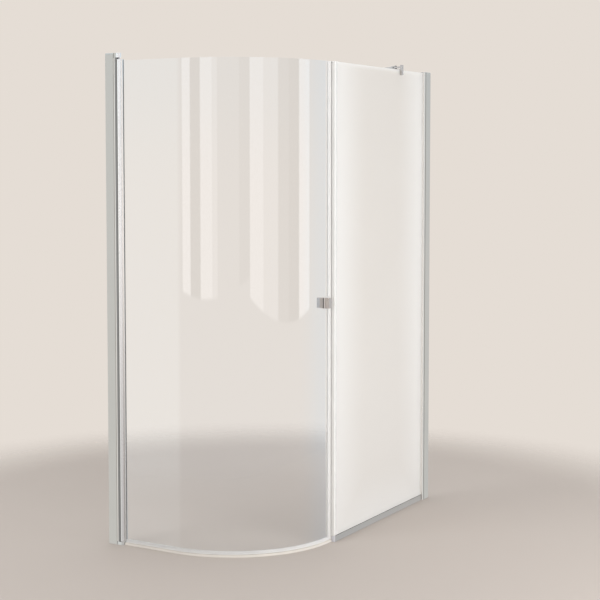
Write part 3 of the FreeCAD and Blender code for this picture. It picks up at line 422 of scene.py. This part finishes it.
hinge_adjust = piece("hinge_adjuster", standing(section, low, high), painted_light_adjuster_metal, "frame",
                     "hinge_adjust_profile")

lip_rubber = soft_finish("grey_lip_rubber", (0.24, 0.24, 0.235), 0.5)
lips = dressed("hinge_side_seal", "hinge_lips", lip_rubber, "frame", 0.15)

# ---------------------------------------------------------------------------------------------
# Pivot brackets: zinc castings held in the adjusting profile by a plug and a grub screw each. The
# lower one is the foot under the tube, the upper one the knuckle over it, with a satin arm and a
# polished round end.

ROUND_END = (AXIS[0] - TUBE_RADIUS + 0.5 - HALF_WIDTH) * 0.001
POLISHED = dict(axis="X", start=ROUND_END, end=ROUND_END + 0.001, colour=(0.90, 0.86, 0.82), roughness=0.16)

bracket_metal = metal_finish("bracket_plate", ANODISED, 0.34, 0.03, EVEN, fade=0.03, depth=0.02,
                             second=POLISHED)
foot = dressed("bottom_pivot_bracket", "hinge_foot", cast_metal, "frame", 0.5)
knuckle = dressed("top_pivot_bracket", "hinge_knuckle", bracket_metal, "frame", 0.5)

# ---------------------------------------------------------------------------------------------
# Inside the hinge: the sloped nylon cams that lift the door as it opens, the bushes and the plug
# that carries the upper pin. They show only in the gaps over and under the tube. The handle's
# sleeve and the blocks under the frosted glass are of the same nylon.

nylon = soft_finish("moulded_nylon", (0.70, 0.69, 0.66), 0.42)
paint(nylon, "lower_lift_cam", "upper_lift_cam", "lower_pivot_bush", "top_end_plug", "top_bush",
      "handle_sleeve", "setting_blocks")

# ---------------------------------------------------------------------------------------------
# Door tube: bright drawn aluminium tube with the pocket that grips the door's glass, in one
# extrusion whose colour is painted darker towards the floor, a painted reflection of the floor. A soft grey
# gasket lies round the glass.

POCKET = dict(start=-2.0, floor=8.0, end=15.3, inside=4.4, outside=6.0)
DOOR_PLANE = AXIS[1] - 9.0             # out, centre plane of the glass's flat run
TUBE_BORE = 7.4
# painted light: above these heights the tube's colour is painted brighter, below them painted darker as a
# floor reflection
PAINTED_LIGHT_TOP = dict(axis="Z", start=0.1, end=1.3, colour=(0.93, 0.905, 0.87), roughness=0.20)

size = POCKET
front = AXIS[1] - DOOR_PLANE
inner_leg, inner_slot, outer_slot, outer_leg = (
    side - front for side in (-size["outside"], -size["inside"], size["inside"], size["outside"]))
start_angle = math.asin(outer_leg / TUBE_RADIUS)
end_angle = math.atan2(-math.sqrt(TUBE_RADIUS ** 2 - size["start"] ** 2), size["start"])
turn = np.linspace(start_angle, 2 * math.pi + end_angle, 72)
round_side = np.column_stack([np.cos(turn), np.sin(turn)]) * TUBE_RADIUS
box_side = np.array([(size["start"], inner_leg), (size["end"], inner_leg), (size["end"], inner_slot),
                     (size["floor"], inner_slot), (size["floor"], outer_slot), (size["end"], outer_slot),
                     (size["end"], outer_leg)])
outline = np.concatenate([round_side, box_side]) + AXIS
turn = np.linspace(0, 2 * math.pi, 64, endpoint=False)
bore = np.column_stack([np.cos(turn), np.sin(turn)]) * TUBE_BORE + AXIS
low, high = (corner.z * 1000 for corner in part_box("door_hinge_profile"))
bright_aluminium = metal_finish("bright_aluminium", (0.68, 0.67, 0.65), 0.22, 0.01, fade=0.02, depth=0.005,
                                second=PAINTED_LIGHT_TOP)
door_tube = piece("door_tube", standing([plan(outline), plan(bore)], low, high), bright_aluminium, "door",
                  "door_hinge_profile", edge=0.25)

paint(soft_finish("grey_glazing_gasket", (0.36, 0.37, 0.37), 0.45), "door_glazing_gasket")

# ---------------------------------------------------------------------------------------------
# Door glass: 6 mm toughened clear glass, flat from the hinge and then bent to a quarter circle,
# with ground edges and one drilled hole for the handle.

GLASS = 6.0
ARC_RADIUS = 452.0
ARC = (327.0, DOOR_PLANE - ARC_RADIUS)     # across and out of the curve's centre
ARC_TAIL = 5.0
GLASS_TOP = 2000.0
DOOR_GLASS_BOTTOM = 15.0
GLASS_CORNER = 0.9
GLASS_START = AXIS[0] + POCKET["floor"] + 0.8   # the gasket's floor keeps it off the pocket's
HANDLE_UP = 1007.0
HANDLE_TURN = math.radians(3.0)            # round the curve from the door's free end
HANDLE_HOLE_RADIUS = 6.0


def door_line(start, end, steps=96):
    """Plan points of the glass's centre line with their outward directions.

    It runs straight at the curve's outermost line from start to the curve, turns a quarter circle
    in even steps, and goes straight on for the tail.
    """
    turn = np.linspace(math.pi / 2, 0, steps)
    spokes = np.column_stack([np.cos(turn), np.sin(turn)])
    curve = np.array(ARC) + spokes * ARC_RADIUS
    flat_run = np.column_stack([np.linspace(start, ARC[0], 12)[:-1], np.full(11, DOOR_PLANE)])
    tail = np.array([(ARC[0] + ARC_RADIUS, end)])
    points = np.concatenate([flat_run, curve, tail])
    outward = np.concatenate([np.tile((0.0, 1.0), (len(flat_run), 1)), spokes, [(1.0, 0.0)]])
    return points, outward


def along_door(section, start, end):
    """A closed section of offsets and heights carried along the door's line.

    A point is the line's own point plus its outward direction times the section's offset, at the
    section's height.
    """
    section = np.asarray(section, float)
    line, outward = door_line(start, end)
    flat = line[:, None] + outward[:, None] * section[None, :, :1]
    up = np.broadcast_to(section[None, :, 1:], (*flat.shape[:2], 1))
    points = np.concatenate([(flat * (1, -1) + (-HALF_WIDTH, BACK_WALL)), up], axis=2).reshape(-1, 3) * 0.001
    sides = walls([len(section)], len(line))
    lids = ends([section])
    last = len(section) * (len(line) - 1)
    return points, [*sides.tolist(), *lids.tolist(), *(lids + last).tolist()]


def glass_finish(name, tint, ripple):
    """Clear glass: it tints what is seen through it, and lets light through to the floor.

    A shadow ray passes straight on, dimmed by the same tint. Wipe marks are a broad noise drawn
    out down the glass that roughens it a little, and the surface has the faint roll of toughened
    glass.
    """
    material, place = new_finish(name)
    wipes = noise(place, 6.0, 5.0, (1.0, 1.0, 0.3)).step_up(0.45, 0.9)
    glass = place.node("ShaderNodeBsdfPrincipled", None, {
        "Base Color": (*tint, 1.0),
        "Roughness": wipes * 0.02,
        "IOR": 1.5,
        "Transmission Weight": 1.0,
        "Coat Weight": 1.0,
        "Coat Roughness": 0.0,
        "Normal": relief(noise(place, 3.0, 1.0), ripple, 0.002),
    })
    passing = place.node("ShaderNodeBsdfTransparent", None, {"Color": (*(c ** 2 for c in tint), 1.0)})
    light = place.node("ShaderNodeLightPath", output="Is Shadow Ray")
    return shade(material, place.node("ShaderNodeMixShader", None, {0: light, 1: glass, 2: passing}))


door_end = ARC[1] - ARC_TAIL
section = rounded([(-GLASS / 2, DOOR_GLASS_BOTTOM), (GLASS / 2, DOOR_GLASS_BOTTOM), (GLASS / 2, GLASS_TOP),
                   (-GLASS / 2, GLASS_TOP)], GLASS_CORNER, 3)
clear_glass = glass_finish("clear_glass", (0.985, 0.992, 0.992), 0.02)
door_pane = piece("door_pane", along_door(section, GLASS_START, door_end), clear_glass, "door", "door_glass")
spoke = np.array([math.cos(HANDLE_TURN), math.sin(HANDLE_TURN)])
hole = plan([np.array(ARC) + spoke * (ARC_RADIUS - GLASS)])[0]
drilled(door_pane, [(*hole, HANDLE_UP * 0.001)], (spoke[0], -spoke[1], 0), 2 * GLASS, HANDLE_HOLE_RADIUS)

# ---------------------------------------------------------------------------------------------
# Door seals: milky PVC. The lower one is pushed on the glass and sheds water inwards with a drip
# lip, the upright one on the free edge holds a magnet strip.

BOTTOM_SEAL = dict(low=11.5, top=24.0, leg=2.0, lip=4.5, start=77.6)

size = BOTTOM_SEAL
inner = -GLASS / 2
outer = GLASS / 2
section = [(inner - size["leg"], size["top"]), (inner, size["top"]), (inner, DOOR_GLASS_BOTTOM),
           (outer, DOOR_GLASS_BOTTOM), (outer, size["top"]), (outer + size["leg"], size["top"]),
           (outer + size["leg"], DOOR_GLASS_BOTTOM), (outer + size["lip"], DOOR_GLASS_BOTTOM - size["leg"]),
           (outer + size["lip"], size["low"]), (inner - size["leg"], size["low"])]
section = rounded(section, [0.4, 0.1, 0.1, 0.1, 0.1, 0.4, 0.6, 0.8, 0.5, 0.5], 3)
milky_seal = soft_finish("milky_pvc_seal", (0.83, 0.82, 0.80), 0.35, coat=0.2, fade=0.05, milky=1.0)
bottom_seal = piece("door_drip_seal", along_door(section, size["start"], door_end), milky_seal, "door",
                    "door_bottom_seal")

edge_seal = dressed("door_edge_seal", "door_edge_strip", milky_seal, "door", 0.25)
front_seal = dressed("front_edge_seal", "panel_edge_strip", milky_seal, "frame", 0.25)
magnet_rubber = soft_finish("magnet_rubber", (0.76, 0.75, 0.73), 0.6)
paint(magnet_rubber, "door_edge_magnet", "front_edge_magnet")

# ---------------------------------------------------------------------------------------------
# Handle: two cast knobs either side of the glass, screwed together by a stud in a nylon sleeve,
# on black gaskets. The outer knob stands on a thin plate.

HANDLE_PIECES = (                          # node, name, colour and roughness
    ("handle_outer_knob", "outer_knob", (0.62, 0.55, 0.50), 0.42),
    ("handle_outer_plate", "outer_plate", (0.85, 0.80, 0.76), 0.30),
    ("handle_inner_knob", "inner_knob", (0.51, 0.46, 0.43), 0.42),
)
for node, name, colour, roughness in HANDLE_PIECES:
    knob_metal = metal_finish(name + "_metal", colour, roughness, 0.03, EVEN)
    dressed(node, name, knob_metal, "door", 0.3)
paint(soft_finish("black_handle_gasket", (0.03, 0.03, 0.03), 0.5), "handle_gaskets")

# ---------------------------------------------------------------------------------------------
# Fixed side's wall channel and adjusting profile: satin anodised, the profile with a pocket for
# the frosted glass between two side chambers, and a notched cast cap over the channel.

PANEL_LINE = 798.0                         # across, centre plane of the frosted glass
FIXED_CHANNEL = dict(reach=48.0, half=14.0, back=2.0, leg=1.8, top=1999.0)
FIXED_ADJUST = dict(back=12.0, reach=62.0, half=11.9, wall=1.6, pocket=18.0, slot=4.4)
HOLLOW_CORNER = 0.4


def off_back_wall(section):
    """A section's off-the-wall and sideways distances as across and out."""
    section = np.asarray(section, float)
    return np.column_stack([PANEL_LINE + section[:, 1], section[:, 0]])


size = FIXED_CHANNEL
outline = rounded(u_section(size["reach"], size["half"], size["back"], size["leg"]), PROFILE_CORNER)
fixed_channel = piece("fixed_channel", standing([plan(off_back_wall(outline))], 0.0, size["top"]),
                      satin_aluminium, "frame", "fixed_wall_channel")
entry = plan([(PANEL_LINE, -1.0)])[0]
drilled(fixed_channel, [(*entry, up * 0.001) for up in WALL_HOLE_HEIGHTS], (0, -1, 0), WALL_HOLE_RUN,
        WALL_HOLE_RADIUS)

size = FIXED_ADJUST
floor = size["reach"] - size["pocket"]
outline = rounded([(size["back"], -size["half"]), (size["reach"], -size["half"]),
                   (size["reach"], -size["slot"]), (floor, -size["slot"]), (floor, size["slot"]),
                   (size["reach"], size["slot"]), (size["reach"], size["half"]),
                   (size["back"], size["half"])], PROFILE_CORNER)
inside = size["half"] - size["wall"]
main = np.array([(size["back"] + size["wall"], -inside), (floor - size["wall"], -inside),
                 (floor - size["wall"], inside), (size["back"] + size["wall"], inside)])
side = size["slot"] + size["wall"]
chamber = np.array([(floor, side), (size["reach"] - size["wall"], side),
                    (size["reach"] - size["wall"], inside), (floor, inside)])
hollows = [rounded(loop, HOLLOW_CORNER) for loop in (main, chamber, chamber * (1, -1))]
section = [plan(off_back_wall(loop)) for loop in (outline, *hollows)]
# the profile takes the same painted lighter aluminium
fixed_adjust = piece("fixed_adjuster", standing(section, 0.0, FIXED_CHANNEL["top"]), painted_light_adjuster_metal, "frame",
                     "fixed_adjust_profile")
paint(soft_finish("pale_glazing_gasket", (0.82, 0.81, 0.79), 0.45), "fixed_glazing_gasket")
fixed_cap = dressed("fixed_channel_cap", "fixed_cap", cast_metal, "frame", 0.6)

# ---------------------------------------------------------------------------------------------
# Frosted glass: 6 mm toughened glass, acid etched on its inner face, ground edges. It stands on
# plastic blocks in the rail and in a gasket in the adjusting profile's pocket.

PAINTED_EDGE_REACH = 0.30                           # m in from its edges over which the panel's colour is painted brighter, a painted highlight
# height of the painted bright band under the panel's top
PAINTED_TOP_BAND = 0.02


def frosted_finish(name, front, back, middle, lit_edge_colour):
    """Etched glass: milky, a little see-through, and its colour painted brighter towards its edges, its top
    and its foot.

    The distance in from the upright edges at front and back, from the floor and from the top blends
    the colour from the painted bright edge colour to the middle one, and a very fine noise gives the etched
    grain.
    """
    material, place = new_finish(name)
    out, height = (place.node("ShaderNodeSeparateXYZ", None, {0: place}, output=axis) for axis in "YZ")
    edge = (out - front).math("MINIMUM", back - out).math("MINIMUM", height * 1.2)
    below_painted_top_band = (GLASS_TOP * 0.001 - height).step_up(0.0, PAINTED_TOP_BAND)
    grain = noise(place, 2500.0)
    clouds = noise(place, 2.5, 3.0)
    # painted light: towards the floor the colour is painted brighter still
    lower = 1.0 - (1.0 - height.step_up(0.1, 1.4)) * 0.35
    away_from_painted_edges = edge.step_up(0.0, PAINTED_EDGE_REACH) * below_painted_top_band * lower * (0.85 + clouds * 0.3)
    colour = away_from_painted_edges.clamped().blend(lit_edge_colour, middle)
    shader = place.node("ShaderNodeBsdfPrincipled", None, {
        "Base Color": colour,
        "Roughness": 0.46 + (grain - 0.5) * 0.1,
        "IOR": 1.45,
        "Transmission Weight": 0.35,
        "Normal": relief(grain, 0.15, 0.00005),
    })
    return shade(material, shader)


low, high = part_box("fixed_glass")
corners = np.array([(low.x, low.y), (high.x, low.y), (high.x, high.y), (low.x, high.y)])
# the last colour is the painted bright edge colour, the one before it the middle
frosted_glass = frosted_finish("frosted_glass", low.y, high.y, (0.81, 0.78, 0.74), (0.92, 0.91, 0.89))
frosted_pane = piece("frosted_pane", standing([corners], low.z * 1000, high.z * 1000), frosted_glass, "frame",
                     "fixed_glass", edge=0.8)

# ---------------------------------------------------------------------------------------------
# Bottom rail: aluminium U on the floor under the frosted glass, with wedge gaskets either side of
# the glass, a plastic end cap and a joining bar into the adjusting profile.

rail_metal = metal_finish("rail_aluminium", (0.47, 0.44, 0.41), 0.36, 0.10, (1.0, 0.012, 1.0))
rail = dressed("bottom_rail", "floor_rail", rail_metal, "frame", 0.35)
wedge = soft_finish("grey_wedge_gasket", (0.22, 0.215, 0.205), 0.5)
wedges = dressed("rail_gaskets", "rail_wedges", wedge, "frame", 0.3)
cap_plastic = soft_finish("grey_cap_plastic", (0.70, 0.70, 0.74), 0.3, coat=0.3)
rail_cap = dressed("rail_end_cap", "rail_cap", cap_plastic, "frame", 0.5)
paint(rail_metal, "rail_joiner")

# ---------------------------------------------------------------------------------------------
# Stabiliser: a clamp on the frosted glass's top edge, on soft pads, and a round bar in two forks
# that are pinned to tongues on the clamp and on the wall flange. Clamp and flange are satin, bar
# and forks bright.

brace_satin = metal_finish("brace_satin_chrome", (0.53, 0.50, 0.475), 0.24, 0.03, EVEN)
brace_chrome = metal_finish("brace_chrome", (0.50, 0.49, 0.48), 0.10, 0.02, EVEN, fade=0.03, depth=0.01)
for node, name, metal, edge in (("clamp_body", "glass_clamp", brace_satin, 0.6),
                                ("panel_bar_fork", "fork_at_panel", brace_chrome, 0.3),
                                ("wall_bar_fork", "fork_at_wall", brace_chrome, 0.3),
                                ("stabiliser_bar", "brace_bar", brace_chrome, 0.2),
                                ("wall_flange", "brace_flange", brace_satin, 0.5)):
    dressed(node, name, metal, "frame", edge)
paint(lip_rubber, "clamp_pads")

# ---------------------------------------------------------------------------------------------
# Floor strip: low threshold of pale extruded plastic, bent to the door's curve and stuck down.

STRIP = dict(height=10.5, outer=11.5, inner=11.0, step=3.5, crown=1.0, start=74.8)

size = STRIP
outer = size["outer"]
inner = -size["inner"]
section = [(inner, 0), (outer, 0), (outer, size["step"]),
           (outer - size["step"], size["height"] - size["crown"]), (outer - 2 * size["step"], size["height"]),
           (inner + 2 * size["step"], size["height"]), (inner, size["step"])]
section = rounded(section, [0.2, 0.2, 1.2, 1.2, 1.2, 1.5, 1.0])
strip_end = BACK_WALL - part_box("floor_strip")[1].y * 1000
pale_plastic = soft_finish("pale_strip_plastic", (0.71, 0.665, 0.61), 0.4, coat=0.15)
strip = piece("threshold", along_door(section, size["start"], strip_end), pale_plastic, "frame",
              "floor_strip")

# ---------------------------------------------------------------------------------------------
# Light, floor and camera. The floor is a wide disc that fades into the background, so the same
# plain setting shows from every side.

FLOOR_COLOUR = (0.571, 0.515, 0.473)
FLOOR_FADE = (1.5, 2.4)                    # m from the middle
FLOOR_RADIUS = 6.0
FLOOR_POINTS = 96
WALL_COLOUR = (0.783, 0.723, 0.665)
DAYLIGHT = ((1.0, 0.985, 0.97, 1.0), 0.74)
MIRRORED = (0.80, 0.78, 0.79)              # what metal and glass mirror, away from the windows
LEFT_GLOW = (1.06, 1.08, 1.09)             # and in these turns round the room, in degrees
LEFT_TURN = (-33.0, -27.0)
RIGHT_GLOW = (0.66, 0.80, 0.93)
RIGHT_TURN = (100.0, 135.0)
BEHIND_GLOW = (1.06, 1.02, 0.99)
BEHIND_TURN = (144.0, 152.0)
BEHIND_END = (-180.0, -90.0)
HIGH_HAZE = (0.86, 0.94, 1.00)             # share of the light that is left just over the horizon
WINDOWS = (
    # middle and half width in degrees, sill and arch of the sill; bands from, to and brightness
    ((2.0, 30.0, -0.0967, 0.007),
     ((-25.3, -16.0, 0.90), (-16.0, -5.0, -0.47), (-4.5, 8.0, 0.86), (8.0, 13.7, 0.42),
      (36.5, 47.5, -0.25))),
    ((88.0, 36.0, -0.1135, 0.0143),
     ((47.7, 62.0, 0.85), (62.0, 78.0, 0.40), (79.0, 91.0, -0.30), (91.0, 103.5, -0.50),
      (104.0, 118.0, 0.92))),
)
BAND_EDGE = 0.6
SILL_EDGE = 0.002


def floor_finish(name):
    """Matt floor that turns see-through between two distances from the middle."""
    material, place = new_finish(name)
    reach = place.node("ShaderNodeVectorMath", {"operation": "LENGTH"}, {0: place}, output="Value")
    look = {"Base Color": (*FLOOR_COLOUR, 1.0), "Roughness": 0.75}
    matt = place.node("ShaderNodeBsdfPrincipled", None, look)
    gone = place.node("ShaderNodeBsdfTransparent")
    fade = {0: reach.step_up(*FLOOR_FADE), 1: matt, 2: gone}
    return shade(material, place.node("ShaderNodeMixShader", None, fade))


turn = np.linspace(0, 2 * math.pi, FLOOR_POINTS, endpoint=False)
disc = np.column_stack([np.cos(turn), np.sin(turn)]) * FLOOR_RADIUS
disc = np.column_stack([disc, np.full(FLOOR_POINTS, -0.0005)])
ground_mesh = bpy.data.meshes.new("ground")
ground_mesh.from_pydata(disc.tolist(), [], [list(range(FLOOR_POINTS))])
ground = bpy.data.objects.new("ground", ground_mesh)
bpy.context.scene.collection.objects.link(ground)
ground_mesh.materials.append(floor_finish("floor"))
ground.visible_glossy = False

world = bpy.data.worlds.new("room")
bpy.context.scene.world = world
world.use_nodes = True
world.node_tree.nodes.clear()
room = Value(world.node_tree)
direction = room.node("ShaderNodeTexCoord", output="Generated")
x, y, rise = (room.node("ShaderNodeSeparateXYZ", None, {0: direction}, output=axis) for axis in "XYZ")
round_room = x.math("ARCTAN2", y * -1.0) * math.degrees(1.0)
brightness = 1.0
for (middle, half, sill, arch), bands in WINDOWS:
    away = (round_room - middle) / half
    over_sill = (rise - away * away * arch).step_up(sill - SILL_EDGE, sill + SILL_EDGE)
    for first, last, level in bands:
        past_first = round_room.step_up(first - BAND_EDGE, first + BAND_EDGE)
        past_last = round_room.step_up(last - BAND_EDGE, last + BAND_EDGE)
        brightness = past_first * (1.0 - past_last) * over_sill * level + brightness
colour = (1.0 - round_room.step_up(*LEFT_TURN)).blend(MIRRORED, LEFT_GLOW)
colour = round_room.step_up(*RIGHT_TURN).blend(colour, RIGHT_GLOW)
behind = round_room.step_up(*BEHIND_TURN) + (1.0 - round_room.step_up(*BEHIND_END))
colour = behind.blend(colour, BEHIND_GLOW)
haze = (rise.step_up(-0.02, 0.08) * (1.0 - rise.step_up(0.08, 0.2))).blend((1.0, 1.0, 1.0), HIGH_HAZE)
colour = colour.node("ShaderNodeVectorMath", {"operation": "MULTIPLY"}, {0: colour, 1: haze})
lit = room.node("ShaderNodeBackground", None, {"Color": DAYLIGHT[0], "Strength": DAYLIGHT[1]})
mirrored = room.node("ShaderNodeBackground", None, {"Color": colour, "Strength": brightness})
shown = room.node("ShaderNodeBackground", None, {"Color": (*WALL_COLOUR, 1.0), "Strength": 1.0})
to_camera = room.node("ShaderNodeLightPath", output="Is Camera Ray")
through = room.node("ShaderNodeLightPath", output="Is Transmission Ray")
mirrorings = room.node("ShaderNodeLightPath", output="Glossy Depth").clamped()
plain = to_camera.math("MAXIMUM", through * (1.0 - mirrorings))
mixed = room.node("ShaderNodeMixShader", None, {0: mirrorings, 1: lit, 2: mirrored})
mixed = room.node("ShaderNodeMixShader", None, {0: plain, 1: mixed, 2: shown})
room.node("ShaderNodeOutputWorld", None, {"Surface": mixed})


def soft_box(name, place, aim, size, power):
    """A rectangular area lamp that points from its place at an aim and isn't mirrored itself."""
    lamp = bpy.data.lights.new(name, "AREA")
    lamp.shape = "RECTANGLE"
    lamp.size, lamp.size_y = size
    lamp.energy = power
    made = bpy.data.objects.new(name, lamp)
    bpy.context.scene.collection.objects.link(made)
    made.location = place
    made.rotation_euler = (Vector(aim) - Vector(place)).to_track_quat("-Z", "Y").to_euler()
    made.visible_camera = False
    made.visible_glossy = False
    made.visible_transmission = False


soft_box("right_lamp", (4.2, -0.6, 1.1), (0.4, 0.0, 0.9), (2.4, 2.0), 95.0)
soft_box("left_lamp", (-2.2, -4.0, 2.8), (0.0, 0.0, 0.9), (2.4, 2.4), 55.0)

# The camera stands at eye height, tilted down a little with a small shift.
camera_data = bpy.data.cameras.new("camera")
camera_data.sensor_width = 36.0
camera_data.lens = 83.06
camera_data.shift_y = -0.08
camera = bpy.data.objects.new("camera", camera_data)
bpy.context.scene.collection.objects.link(camera)
camera.location = (3.1417, -5.2180, 1.5755)
camera.rotation_euler = (math.radians(90 - 3.6), 0.0, math.radians(30.17))
bpy.context.scene.camera = camera
bpy.context.scene.view_settings.view_transform = "Standard"
